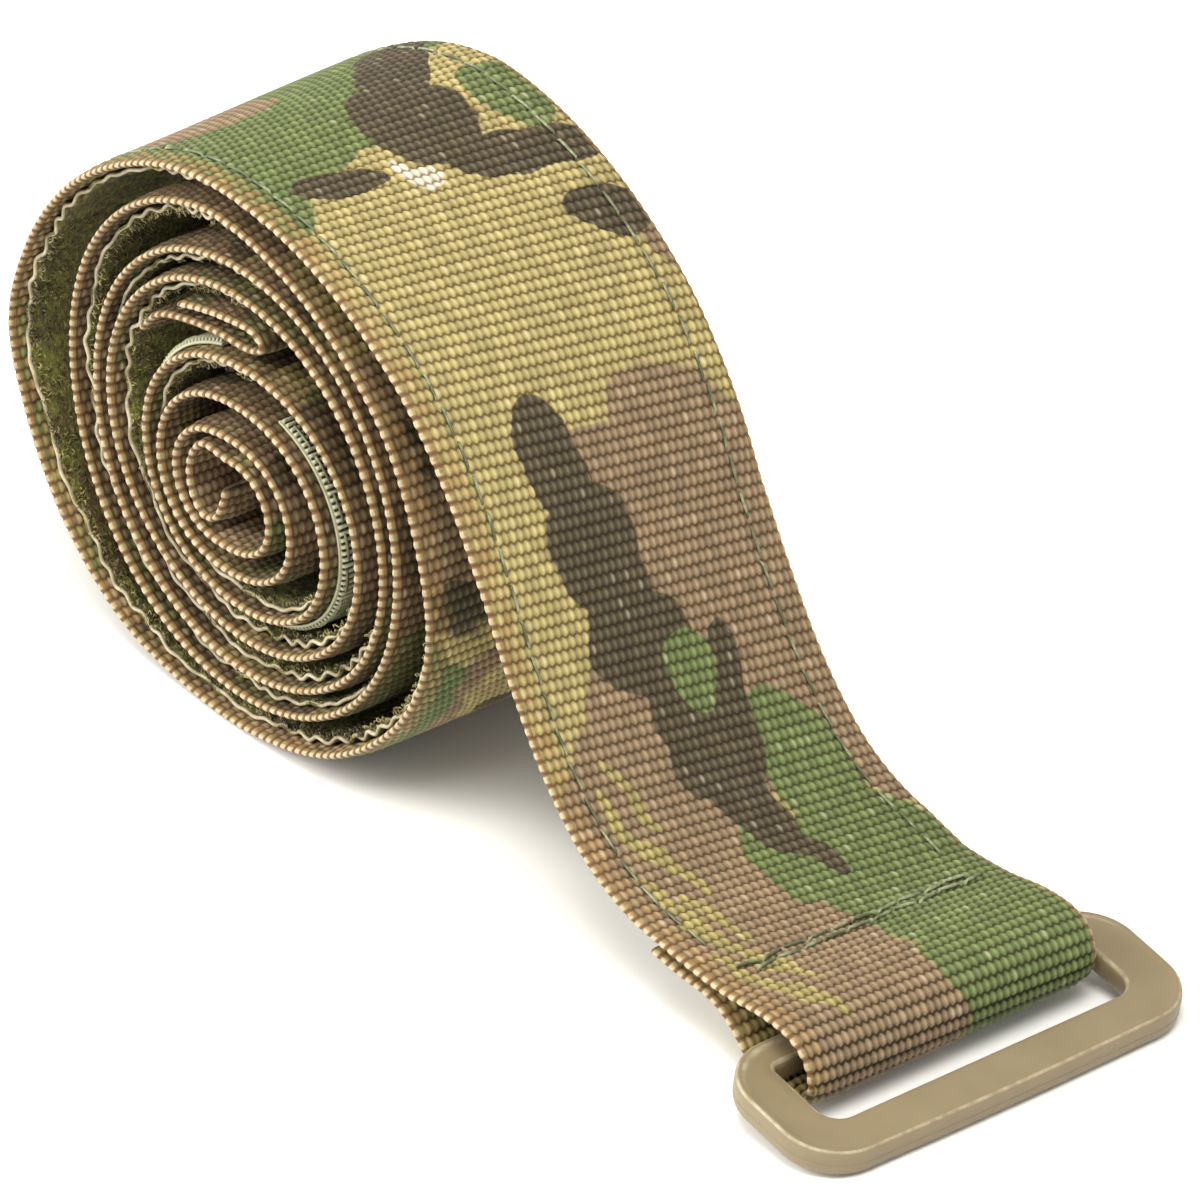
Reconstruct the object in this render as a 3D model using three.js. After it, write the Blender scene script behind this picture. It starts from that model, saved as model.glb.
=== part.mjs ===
// Rolled hook-and-loop tourniquet strap with a moulded ring, in millimetres, +Z up.
//
// A 38 mm webbing strap carries a loop (pile) tape on its inner face and a hook tape near
// its free end. The free end is at the core of a loose roll that stands on its edge turns.
// The other end leaves the top of the roll, comes down towards the surface and is folded
// round the back bar of a rectangular ring, closed by two rows of cross stitching.
//
// The origin is on the surface the strap stands on, under the middle of the whole object.
// +X is the way the strap leaves the roll, Y is across the strap's width.

import {
  CatmullRomCurve3,
  ExtrudeGeometry,
  Group,
  MathUtils,
  Mesh,
  MeshStandardMaterial,
  Path,
  Shape,
  Vector2,
  Vector3,
} from 'three';

// ---------------------------------------------------------------- strap dimensions

const STRAP_WIDTH = 38;
const WEBBING = 1.2; // thickness
const PILE = 0.7; // loop tape thickness
const HOOK = 0.7; // hook tape thickness
const TAPE_WIDTH = 35;
const LAYER_GAP = 0.2; // between layers that are sewn together
const THREAD_WIDTH = 0.8;
const THREAD_HEIGHT = 0.3;
const THREAD_GAP = 0.1; // under a row of thread
const CROSS_ROW_WIDTH = 1.2; // of a row across the strap
const EDGE_INSET = 3.4; // edge rows, in from each edge of the webbing
const HOOK_INSET = 1.6; // rows on the hook tape, in from each of its edges
const BEND_GAP = 1.6; // between the stretches of webbing that bend on a joint

// ---------------------------------------------------------------- the roll

// The middle of the coil's core, in the part's frame.
const CORE_X = -35.04;
const CORE_Z = 27.69;

// The coil, one row for each full turn from the core outward: its mean radius, and its
// centre measured from the core.
const TURNS = [
  { radius: 5.8, x: 0.6, z: 0.3 },
  { radius: 8.6, x: 0.7, z: 0.5 },
  { radius: 12.8, x: 2.2, z: 1.1 },
  { radius: 17.3, x: 3.8, z: 1.9 },
  { radius: 23.2, x: 2.8, z: 4.2 },
  { radius: 26.4, x: 3.6, z: 4.0 },
  { radius: 29.4, x: 0.7, z: 4.9 },
];
const CORE_OVAL = 0.17; // how far the innermost turn is stretched sideways
const COIL_STEP = 15; // degrees between the coil's points

// How finely the strap is drawn along its length.
const ROUTE_STEP = 0.4;
const MAX_TURN = MathUtils.degToRad(10);
const MAX_STEP = 7;
const MIN_STEP = 1;

// Points of the strap before and after the coil, (x, z) from the core. The free end is
// hooked up inside the coil's first turn.
const FREE_END = [
  [0.9, 2.2],
  [0.0, -0.6],
  [-1.3, -2.9],
  [-3.5, -3.6],
  [-5.7, -1.3],
  [-5.9, 2.2],
  [-3.7, 5.1],
];
const OUTER_TURN = [
  [15.6, 30.7],
  [28.9, 21.4],
  [35.0, 9.0],
  [36.0, -2.0],
  [31.0, -13.0],
  [19.0, -22.9],
  [4.0, -26.9],
  [-9.0, -26.6],
  [-20.0, -23.8],
  [-29.5, -16.3],
  [-36.0, -5.5],
  [-38.7, 4.8],
  [-35.1, 15.7],
  [-28.1, 25.1],
  [-19.0, 32.0],
  [-9.0, 36.5],
  [0.0, 37.9],
];
const LEAD = [
  [9.0, 37.3],
  [16.5, 35.5],
  [24.8, 32.0],
  [33.0, 26.7],
  [40.7, 18.2],
  [45.7, 10.0],
  [50.2, 1.5],
  [55.7, -7.0],
  [62.5, -13.6],
  [70.0, -16.9],
  [78.0, -17.9],
  [86.0, -18.4],
];
const END_FOLD = [
  [92.0, -18.2],
  [95.6, -18.9],
  [98.0, -20.8],
  [99.3, -23.0],
  [98.2, -25.0],
  [95.4, -25.8],
  [92.4, -25.8],
  [89.6, -24.6],
  [86.6, -21.8],
  [83.6, -20.3],
  [78.0, -19.8],
  [72.4, -19.1],
];

// The pull tab: a short doubled piece of webbing held between two turns, from its sewn
// root round its folded tip to its cut end.
const PULL_TAB = [
  [-11.2, 17.5],
  [-6.6, 19.1],
  [0.0, 20.2],
  [5.4, 20.5],
  [7.6, 21.6],
  [6.4, 22.8],
  [0.8, 22.5],
  [-5.0, 21.3],
];

// ---------------------------------------------------------------- where things are

// Places along the strap, named by a point near them, (x, z) from the core.
const ROLL_BEND = [11.5, 36.9]; // the strap leaves the roll here
const END_BEND = [60.5, -12.2]; // and flattens out here
const PILE_END = [68.5, -16.5];
const CROSS_ROWS = [83.4, 85.0]; // x of the two rows of cross stitching
const HOOK_START = 2.08; // turns of coil from the core
const HOOK_END = 2.95;
const PILE_START = 2.35;
const EDGE_ROW_START = [-29.5, -16.3];

// ---------------------------------------------------------------- the ring

const RING_WIDTH = 51;
const RING_THICKNESS = 3.4;
const RING_FRONT = 16.8; // from the back bar's middle to the front of the ring
const FRONT_BAR = 5.3;
const BACK_BAR = 3.6;
const SLOT_WIDTH = 40;
const RING_CORNER = 6.5;
const SLOT_CORNER = 2.4;
const SLOT_BACK_CORNER = 0.8;
const RING_CHAMFER = 0.8;
const RING_TILT = 10; // degrees, front bar down on the surface
const BACK_BAR_X = 93.06; // from the core
const BACK_BAR_Z = -23.1;

// ---------------------------------------------------------------- materials

const makeMaterial = (color, roughness) =>
  new MeshStandardMaterial({ color, roughness, metalness: 0 });

const webbingMaterial = () => makeMaterial(0x9a8f5c, 0.85);
const pileMaterial = () => makeMaterial(0x67683a, 0.95);
const hookMaterial = () => makeMaterial(0x9fa386, 0.7);
const threadMaterial = () => makeMaterial(0x55683f, 0.75);
const ringMaterial = () => makeMaterial(0xa4946f, 0.45);

// ---------------------------------------------------------------- the strap's route

// Centre of the coil's strap after the given number of turns from the core. The turns
// open out clockwise, seen along +Y, and each starts at the top.
function coilPoint(turn, rows) {
  const last = TURNS.length - 1;
  const row = rows.getPoint(turn / last);
  const angle = MathUtils.degToRad(90 - 360 * turn);
  const oval = CORE_OVAL * (1 - turn / last);
  const radius = row.x * (1 + oval * Math.cos(2 * angle));
  return [row.y + radius * Math.cos(angle), row.z + radius * Math.sin(angle)];
}

function coilPoints() {
  const rowVectors = TURNS.map((row) => new Vector3(row.radius, row.x, row.z));
  const rows = new CatmullRomCurve3(rowVectors, false, 'catmullrom', 0.5);
  const points = [];
  const count = ((TURNS.length - 1) * 360) / COIL_STEP;
  for (let i = 0; i <= count; i += 1) {
    points.push(coilPoint((i * COIL_STEP) / 360, rows));
  }
  return points;
}

function smoothCurve(points) {
  return new CatmullRomCurve3(points.map(([x, z]) => new Vector3(x, 0, z)));
}

// Points along a curve at even steps, each with its distance along the curve and its unit
// normal. The normal points out of the strap's printed face.
function fineRoute(curve) {
  const count = Math.round(curve.getLength() / ROUTE_STEP);
  const route = [];
  for (let i = 0; i <= count; i += 1) {
    const point = curve.getPointAt(i / count);
    const tangent = curve.getTangentAt(i / count);
    route.push({ x: point.x, z: point.z, nx: -tangent.z, nz: tangent.x, distance: i * ROUTE_STEP });
  }
  return route;
}

// The places of a fine route between two distances, close together where it bends and
// further apart where it is nearly straight.
function stretch(route, from, to) {
  const inside = route.filter((place) => place.distance >= from && place.distance <= to);
  const places = [inside[0]];
  for (const place of inside) {
    const last = places[places.length - 1];
    const turn = Math.acos(Math.min(1, place.nx * last.nx + place.nz * last.nz));
    if (turn > MAX_TURN || place.distance - last.distance > MAX_STEP) {
      places.push(place);
    }
  }
  const end = inside[inside.length - 1];
  if (places.length > 1 && end.distance - places[places.length - 1].distance < MIN_STEP) {
    places.pop();
  }
  places.push(end);
  return places;
}

function distanceNear(route, [x, z]) {
  const gap = (place) => Math.hypot(place.x - x, place.z - z);
  return route.reduce((best, place) => (gap(place) < gap(best) ? place : best)).distance;
}

// ---------------------------------------------------------------- shapes

// A strip that follows a stretch of route, between two heights over the webbing's middle
// and between two places across the strap's width.
function strip(places, low, high, yFrom, yTo) {
  const offset = (height) => (place) =>
    new Vector2(place.x + place.nx * height, place.z + place.nz * height);
  const outline = [...places.map(offset(high)), ...places.map(offset(low)).reverse()];
  const geometry = new ExtrudeGeometry(new Shape(outline), {
    depth: yTo - yFrom,
    bevelEnabled: false,
  });
  geometry.rotateX(Math.PI / 2);
  geometry.translate(CORE_X, yTo, CORE_Z);
  return geometry;
}

function fullWidthStrip(places, low, high, width) {
  return strip(places, low, high, -width / 2, width / 2);
}

function webbingStrip(places) {
  return fullWidthStrip(places, -WEBBING / 2, WEBBING / 2, STRAP_WIDTH);
}

function pileStrip(places) {
  const top = -WEBBING / 2 - LAYER_GAP;
  return fullWidthStrip(places, top - PILE, top, TAPE_WIDTH);
}

function hookStrip(places) {
  const bottom = WEBBING / 2 + LAYER_GAP;
  return fullWidthStrip(places, bottom, bottom + HOOK, TAPE_WIDTH);
}

// One row of stitching along the strap, over a face at the given height.
function threadRow(places, face, y) {
  const bottom = face + THREAD_GAP;
  const half = THREAD_WIDTH / 2;
  return strip(places, bottom, bottom + THREAD_HEIGHT, y - half, y + half);
}

// One row of stitching across the strap's printed face.
function crossRow(route, distance) {
  const reach = CROSS_ROW_WIDTH / 2;
  const places = stretch(route, distance - reach, distance + reach);
  const bottom = WEBBING / 2 + THREAD_GAP;
  const end = STRAP_WIDTH / 2 - EDGE_INSET;
  return strip(places, bottom, bottom + THREAD_HEIGHT, -end, end);
}

// The ring's outline with its slot, flat, with the back bar's middle at the origin.
function ringOutline() {
  const front = RING_FRONT;
  const back = -BACK_BAR / 2;
  const side = RING_WIDTH / 2;
  const outline = roundedBox(new Shape(), back, front, side, RING_CORNER, RING_CORNER);
  const slot = roundedBox(
    new Path(),
    back + BACK_BAR,
    front - FRONT_BAR,
    SLOT_WIDTH / 2,
    SLOT_BACK_CORNER,
    SLOT_CORNER,
  );
  outline.holes.push(slot);
  return outline;
}

function roundedBox(path, back, front, side, backCorner, frontCorner) {
  const quarter = Math.PI / 2;
  path.moveTo(back + backCorner, -side);
  path.lineTo(front - frontCorner, -side);
  path.absarc(front - frontCorner, -side + frontCorner, frontCorner, -quarter, 0, false);
  path.lineTo(front, side - frontCorner);
  path.absarc(front - frontCorner, side - frontCorner, frontCorner, 0, quarter, false);
  path.lineTo(back + backCorner, side);
  path.absarc(back + backCorner, side - backCorner, backCorner, quarter, 2 * quarter, false);
  path.lineTo(back, -side + backCorner);
  path.absarc(back + backCorner, -side + backCorner, backCorner, 2 * quarter, 3 * quarter, false);
  return path;
}

function ringGeometry() {
  const depth = RING_THICKNESS - 2 * RING_CHAMFER;
  const geometry = new ExtrudeGeometry(ringOutline(), {
    depth,
    bevelEnabled: true,
    bevelThickness: RING_CHAMFER,
    bevelSize: RING_CHAMFER,
    bevelOffset: -RING_CHAMFER,
    bevelSegments: 2,
    curveSegments: 7,
  });
  geometry.translate(0, 0, -depth / 2);
  return geometry;
}

// ---------------------------------------------------------------- assembly

const model = new Group();

function add(name, geometry, material) {
  const mesh = new Mesh(geometry, material);
  mesh.name = name;
  model.add(mesh);
  return mesh;
}

const coil = coilPoints();
const strapPoints = [...FREE_END, ...coil, ...OUTER_TURN, ...LEAD, ...END_FOLD];
const route = fineRoute(smoothCurve(strapPoints));

// Distance along the strap after a number of turns of coil.
function coilDistance(turn) {
  return distanceNear(route, coil[Math.round((turn * 360) / COIL_STEP)]);
}

function addWebbing(rollBend, endBend, strapEnd) {
  const half = BEND_GAP / 2;
  const roll = stretch(route, 0, rollBend - half);
  const lead = stretch(route, rollBend + half, endBend - half);
  const end = stretch(route, endBend + half, strapEnd);
  add('webbing_roll', webbingStrip(roll), webbingMaterial());
  add('webbing_lead', webbingStrip(lead), webbingMaterial());
  add('webbing_end_loop', webbingStrip(end), webbingMaterial());
}

function addTapes(rollBend, endBend) {
  const half = BEND_GAP / 2;
  const pileStart = coilDistance(PILE_START);
  const pileEnd = distanceNear(route, PILE_END);
  const roll = stretch(route, pileStart, rollBend - half);
  const lead = stretch(route, rollBend + half, endBend - half);
  const end = stretch(route, endBend + half, pileEnd);
  add('pile_tape_roll', pileStrip(roll), pileMaterial());
  add('pile_tape_lead', pileStrip(lead), pileMaterial());
  add('pile_tape_end', pileStrip(end), pileMaterial());
  const hook = stretch(route, coilDistance(HOOK_START), coilDistance(HOOK_END));
  add('hook_tape', hookStrip(hook), hookMaterial());
  const hookFace = WEBBING / 2 + LAYER_GAP + HOOK;
  const hookRow = TAPE_WIDTH / 2 - HOOK_INSET;
  add('hook_stitch_near', threadRow(hook, hookFace, -hookRow), threadMaterial());
  add('hook_stitch_far', threadRow(hook, hookFace, hookRow), threadMaterial());
}

function addEdgeRows(rollBend, endBend) {
  const half = BEND_GAP / 2;
  const stops = {
    roll: [distanceNear(route, EDGE_ROW_START), rollBend - half],
    lead: [rollBend + half, endBend - half],
    end: [endBend + half, crossDistance(CROSS_ROWS[0]) - 2 * THREAD_WIDTH],
  };
  const rowY = STRAP_WIDTH / 2 - EDGE_INSET;
  for (const [place, [from, to]] of Object.entries(stops)) {
    const places = stretch(route, from, to);
    add(`edge_stitch_near_${place}`, threadRow(places, WEBBING / 2, -rowY), threadMaterial());
    add(`edge_stitch_far_${place}`, threadRow(places, WEBBING / 2, rowY), threadMaterial());
  }
}

// Distance along the strap where its flat end passes the given x on its upper side.
function crossDistance(x) {
  const upper = route.filter((place) => place.x > END_BEND[0] && place.nz > 0);
  return upper.find((place) => place.x > x).distance;
}

function addCrossRows() {
  add('cross_stitch_back', crossRow(route, crossDistance(CROSS_ROWS[0])), threadMaterial());
  add('cross_stitch_front', crossRow(route, crossDistance(CROSS_ROWS[1])), threadMaterial());
}

function addPullTab() {
  const tabRoute = fineRoute(smoothCurve(PULL_TAB));
  add('pull_tab', webbingStrip(stretch(tabRoute, 0, Infinity)), webbingMaterial());
}

function addRing() {
  const ring = add('ring', ringGeometry(), ringMaterial());
  ring.position.set(CORE_X + BACK_BAR_X, 0, CORE_Z + BACK_BAR_Z);
  ring.rotation.y = MathUtils.degToRad(RING_TILT);
}

const rollBendDistance = distanceNear(route, ROLL_BEND);
const endBendDistance = distanceNear(route, END_BEND);
const strapEndDistance = route[route.length - 1].distance;

addWebbing(rollBendDistance, endBendDistance, strapEndDistance);
addTapes(rollBendDistance, endBendDistance);
addEdgeRows(rollBendDistance, endBendDistance);
addCrossRows();
addPullTab();
addRing();

export default model;
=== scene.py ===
"""Looks of the rolled strap tourniquet: printed ribbed webbing with a loop tape, a hook tape,
stitching, a pull tab and a moulded ring. Shapes are worked out in millimetres and turned
into metres when a mesh is made."""

import math

import bpy
import numpy as np
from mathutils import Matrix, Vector


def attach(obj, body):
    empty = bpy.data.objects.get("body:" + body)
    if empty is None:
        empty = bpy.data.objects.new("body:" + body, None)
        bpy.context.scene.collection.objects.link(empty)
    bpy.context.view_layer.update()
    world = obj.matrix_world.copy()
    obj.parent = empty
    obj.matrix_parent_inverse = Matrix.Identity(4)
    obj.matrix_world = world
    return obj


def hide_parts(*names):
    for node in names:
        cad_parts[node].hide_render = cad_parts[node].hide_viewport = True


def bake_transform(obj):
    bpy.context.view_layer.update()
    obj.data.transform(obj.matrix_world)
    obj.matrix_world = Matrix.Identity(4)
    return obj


MM = 0.001

# ------------------------------------------------------------------ strap dimensions, mm

STRAP_WIDTH = 38.0
HALF_WIDTH = STRAP_WIDTH / 2
WEBBING_HALF = 0.42  # half the webbing's thickness under its ribs
RIB = 1.34  # rib pitch along the strap
YARN = 0.9  # pitch of the yarns that show in one rib
ROW_HALF = 0.44  # half width of one row of yarns, in ribs
ROW_SWELL = 0.08  # how much wider it is where a yarn comes over
WEAVE_HEIGHT = 0.33
EDGE_ROUND = 0.62
EDGE_THIN_FROM = 16.6  # the webbing thins from here
EDGE_THIN_TO = 18.3  # to here
EDGE_MIDDLE = (18.68, 18.86)  # the painted highlight in the middle of the beads starts between these
FOLD_FROM = (1027.0, 1034.0)  # the rows open round the ring, from between these distances
FOLD_TO = (1046.0, 1050.0)  # to between these
EDGE_THIN = 0.08
SEAM_SINK = 0.24  # how deep the edge rows of thread draw the webbing in
SEAM_SPREAD = 0.45  # and how far to each side
EDGE_WANDER = 0.12
TAPE_HALF = 17.3
PILE_TOP = -0.62  # the loop tape's sewn side, from the webbing's middle
PILE_THICK = 0.45
PILE_STEP = 0.42
PILE_EDGE = 16.9  # half width of the pile, inside its woven edges
PILE_ROUGH = 0.3
TUCK_FROM = 13.4  # the loop tape's edge puckers from here
TUCK_TO = 17.0  # to here
PUCKER_PITCH = 3.6
OPEN_ROOM = 9.0  # the free space where there is no turn further in
SAME_TURN = 16  # strap nearer than this, along it, isn't another turn
SELVAGE_RADIUS = 0.23
HOOK_BASE = 0.75
HOOK_PITCH = 0.68
HOOK_EDGE = 17.0  # half width of the ribbed part
HOOK_RIB = 0.42
HOOK_SEAM_Y = 16.5
STITCH_Y = 15.6
STITCH_PITCH = 3.9
THREAD_RADIUS = 0.16
THREAD_HIGH = 0.62  # the middle of a row of thread, from the webbing's middle
CROSS_PITCH = 3.05
CROSS_HIGH = 0.85
LOOP_RADIUS = 0.1

# ------------------------------------------------------------------ the strap's route, mm

CORE_X = -35.04
CORE_Z = 27.69
TURNS = [  # radius, centre x, centre z, one row for each turn from the core outward
    (5.8, 0.6, 0.3),
    (8.6, 0.7, 0.5),
    (12.8, 2.2, 1.1),
    (17.3, 3.8, 1.9),
    (23.2, 2.8, 4.2),
    (26.4, 3.6, 4.0),
    (29.4, 0.7, 4.9),
]
CORE_OVAL = 0.17
COIL_STEP = 15
FREE_END = [
    (0.9, 2.2), (0.0, -0.6), (-1.3, -2.9), (-3.5, -3.6), (-5.7, -1.3), (-5.9, 2.2), (-3.7, 5.1),
]
OUTER_TURN = [
    (15.6, 30.7), (28.9, 21.4), (35.0, 9.0), (36.0, -2.0), (31.0, -13.0), (19.0, -22.9),
    (4.0, -26.9), (-9.0, -26.6), (-20.0, -23.8), (-29.5, -16.3), (-36.0, -5.5), (-38.7, 4.8),
    (-35.1, 15.7), (-28.1, 25.1), (-19.0, 32.0), (-9.0, 36.5), (0.0, 37.9),
]
LEAD = [
    (9.0, 37.3), (16.5, 35.5), (24.8, 32.0), (33.0, 26.7), (40.7, 18.2), (45.7, 10.0),
    (50.2, 1.5), (55.7, -7.0), (62.5, -13.6), (70.0, -16.9), (78.0, -17.9), (86.0, -18.4),
]
END_FOLD = [
    (92.0, -18.0), (96.2, -18.5), (98.5, -20.0), (99.4, -22.8), (98.4, -25.0), (95.4, -25.8),
    (92.4, -25.8), (89.6, -24.6), (86.6, -21.8), (83.6, -20.3), (78.0, -19.8), (72.4, -19.1),
]
PULL_TAB = [
    (-14.4, 14.3), (-11.2, 17.5), (-6.6, 19.1), (0.0, 20.2), (5.4, 20.5), (7.6, 21.6), (6.4, 22.8),
    (0.8, 22.5), (-5.0, 21.3), (-8.4, 20.2),
]

# The strap's far edge stands proud of its near edge by this much, at these distances.
FAR_LIFT_AT = [
    840.0, 885.0, 908.0, 934.0, 965.0, 992.0, 1005.0, 1011.0, 1016.0, 1021.0, 1031.0, 1037.0,
    1048.0, 1054.0, 1063.0,
]
FAR_LIFT = [0.0, 1.6, 2.4, 0.8, -1.6, -0.5, -0.3, -1.3, -0.8, -0.2, 0.6, 0.5, -0.3, -1.3, -0.4]
# How far the ribs run askew, as a slope, at these distances.
SKEW_AT = [840.0, 900.0, 930.0, 965.0, 1010.0, 1035.0, 1050.0]
SKEW = [0.0, -0.15, -0.15, -0.12, -0.12, -0.05, 0.0]

# Where one visual piece of strap ends and the next starts.
COIL_SPLIT = 360.0
OUTER_START = 716.0
TOP_START = 868.0
END_START = 955.0
PILE_START = 168.0
PILE_END = 1000.8
HOOK_START = 143.1
HOOK_END = 227.0
EDGE_STITCH_START = 832.0
EDGE_STITCH_END = 1011.0
# The two rows that close the fold: name, distance, start of the first stitch.
CROSS_ROWS = [("back", 1016.2, 0.0), ("front", 1017.3, 1.5)]

# The two joints that the strap bends on, (x, z) in the part's frame, and its direction there.
ROLL_JOINT = (-23.66, 64.56)
ROLL_JOINT_WAY = (0.979, -0.202)
END_JOINT = (25.50, 15.59)
END_JOINT_WAY = (0.759, -0.651)


def hermite(p1, p2, t1, t2, f):
    """The cubic from p1 to p2 that leaves and arrives with these tangents, at share f."""
    cubic = (2 * p1 - 2 * p2 + t1 + t2) * f**3
    return cubic + (3 * p2 - 3 * p1 - 2 * t1 - t2) * f**2 + t1 * f + p1


def coil_points():
    """The turns of the roll, from the core outward: each row of TURNS blends into the next."""
    rows = np.array(TURNS)
    last = len(rows) - 1
    padded = np.vstack([2 * rows[0] - rows[1], rows, 2 * rows[-1] - rows[-2]])
    out = []
    for i in range(last * 360 // COIL_STEP + 1):
        turn = i * COIL_STEP / 360
        k = min(int(turn), last - 1)
        p0, p1, p2, p3 = padded[k : k + 4]
        radius, x, z = hermite(p1, p2, (p2 - p0) / 2, (p3 - p1) / 2, turn - k)
        angle = math.radians(90 - 360 * turn)
        radius *= 1 + CORE_OVAL * (1 - turn / last) * math.cos(2 * angle)
        out.append((x + radius * math.cos(angle), z + radius * math.sin(angle)))
    return out


def smooth_line(points, per=24):
    """A centripetal Catmull-Rom curve through the points."""
    p = np.array(points, float)
    padded = np.vstack([2 * p[0] - p[1], p, 2 * p[-1] - p[-2]])
    out = []
    for i in range(len(p) - 1):
        p0, p1, p2, p3 = padded[i : i + 4]
        d0, d1, d2 = (np.linalg.norm(b - a) ** 0.5 for a, b in ((p0, p1), (p1, p2), (p2, p3)))
        t1 = ((p1 - p0) / d0 - (p2 - p0) / (d0 + d1) + (p2 - p1) / d1) * d1
        t2 = ((p2 - p1) / d1 - (p3 - p1) / (d1 + d2) + (p3 - p2) / d2) * d1
        out.append(hermite(p1, p2, t1, t2, np.linspace(0, 1, per, endpoint=False)[:, None]))
    out.append(p[-1:])
    return np.vstack(out)


class Route:
    """A line in the plane of the roll, with its normal, by distance along it in mm."""

    def __init__(self, points, step=0.25):
        line = smooth_line(points)
        walked = np.concatenate([[0], np.cumsum(np.hypot(*np.diff(line, axis=0).T))])
        self.length = walked[-1]
        self.s = np.arange(0, self.length, step)
        self.x = np.interp(self.s, walked, line[:, 0])
        self.z = np.interp(self.s, walked, line[:, 1])
        tx, tz = np.gradient(self.x), np.gradient(self.z)
        size = np.hypot(tx, tz)
        self.nx, self.nz = -tz / size, tx / size

    def at(self, s):
        x, z, nx, nz = (np.interp(s, self.s, v) for v in (self.x, self.z, self.nx, self.nz))
        size = np.hypot(nx, nz)
        return x, z, nx / size, nz / size


STRAP = Route([*FREE_END, *coil_points(), *OUTER_TURN, *LEAD, *END_FOLD])
TAB = Route(PULL_TAB)


def smoothstep(low, high, v):
    t = np.clip((v - low) / (high - low), 0, 1)
    return t * t * (3 - 2 * t)


def surface(route, s, y, height):
    """Points in metres, at distances s along a route, y across it and height over it."""
    x, z, nx, nz = route.at(s)
    up = np.zeros(np.broadcast(s, y).shape)
    out = np.broadcast_to(height, up.shape).astype(float)
    if route is STRAP:
        lift = np.interp(s, FAR_LIFT_AT, FAR_LIFT) * smoothstep(-1.2, 1.2, y / HALF_WIDTH)
        flat = smoothstep(965, 1005, s)
        out = out + lift * (1 - flat)
        up = lift * flat
    shape = up.shape
    px = np.broadcast_to(CORE_X + x, shape) + nx * out
    pz = np.broadcast_to(CORE_Z + z, shape) + nz * out + up
    return np.stack([px, np.broadcast_to(y, shape), pz], -1) * MM


# ------------------------------------------------------------------ meshes


def grid_normals(points):
    """Outward normals of a grid whose columns close on themselves."""
    along = np.gradient(points, axis=0)
    round_it = np.roll(points, -1, axis=1) - np.roll(points, 1, axis=1)
    normal = np.cross(round_it, along)
    return normal / (np.linalg.norm(normal, axis=-1, keepdims=True) + 1e-12)


def make_object(name, points, faces, material, uv=None):
    """A mesh object; uv holds each point's distance along the strap and place across it, in mm."""
    mesh = bpy.data.meshes.new(name)
    mesh.from_pydata(points.reshape(-1, 3).tolist(), [], faces)
    mesh.polygons.foreach_set("use_smooth", [len(f) < 5 for f in faces])
    if uv is not None:
        layer = mesh.uv_layers.new(name="strap")
        corners = np.zeros(len(mesh.loops), np.int32)
        mesh.loops.foreach_get("vertex_index", corners)
        layer.data.foreach_set("uv", uv.reshape(-1, 2)[corners].astype(np.float32).ravel())
    mesh.materials.append(material)
    mesh.update()
    piece = bpy.data.objects.new(name, mesh)
    bpy.context.scene.collection.objects.link(piece)
    return piece


def tube_faces(rows, columns, caps=True):
    """Quads of a grid whose columns close on themselves, with a face at each end."""
    i, j = np.meshgrid(np.arange(rows - 1), np.arange(columns), indexing="ij")
    k = (j + 1) % columns
    a, b, c, d = i * columns + j, i * columns + k, (i + 1) * columns + k, (i + 1) * columns + j
    faces = np.stack([a, b, c, d], -1).reshape(-1, 4).tolist()
    if caps:
        faces.append(list(range(columns))[::-1])
        faces.append(list(range((rows - 1) * columns, rows * columns)))
    return faces


def weave(r, y):
    """Height of the webbing's face: ribs across it, each a row of yarns that swell in turn."""
    rib = np.floor(r / RIB + 0.5)
    swell = np.cos(2 * math.pi * (y / YARN + 0.5 * rib))
    off = (r / RIB - rib) / (ROW_HALF + ROW_SWELL * swell)
    row = np.sqrt(np.clip(1 - off**2, 0, 1))
    return WEAVE_HEIGHT * row * (0.8 + 0.2 * swell)


def section_columns(outer_y, inner_y, edge_steps=6):
    """Round the strap's section: face, far edge, back, near edge. y, height share, edge."""
    face = HALF_WIDTH - EDGE_ROUND
    turn = np.linspace(math.pi / 2, -math.pi / 2, edge_steps + 2)[1:-1]
    y = np.concatenate([
        outer_y,
        face + EDGE_ROUND * np.cos(turn),
        inner_y[::-1],
        -face - EDGE_ROUND * np.cos(turn[::-1]),
    ])
    high = np.concatenate([
        np.ones(len(outer_y)), np.sin(turn), -np.ones(len(inner_y)), np.sin(turn[::-1]),
    ])
    edge = np.concatenate([
        np.zeros(len(outer_y)), np.cos(turn), np.zeros(len(inner_y)), np.cos(turn[::-1]),
    ])
    return y, high, edge


def edge_columns(fine_from, fine_step, coarse):
    """Places across the strap: close together near both edges, further apart between."""
    face = HALF_WIDTH - EDGE_ROUND
    side = np.arange(face, fine_from, -fine_step)
    middle = np.linspace(-fine_from, fine_from, coarse)
    return np.concatenate([-side, middle, side[::-1]])


def snap(distance):
    """The nearest valley between two ribs."""
    return (round(distance / RIB - 0.5) + 0.5) * RIB


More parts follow.
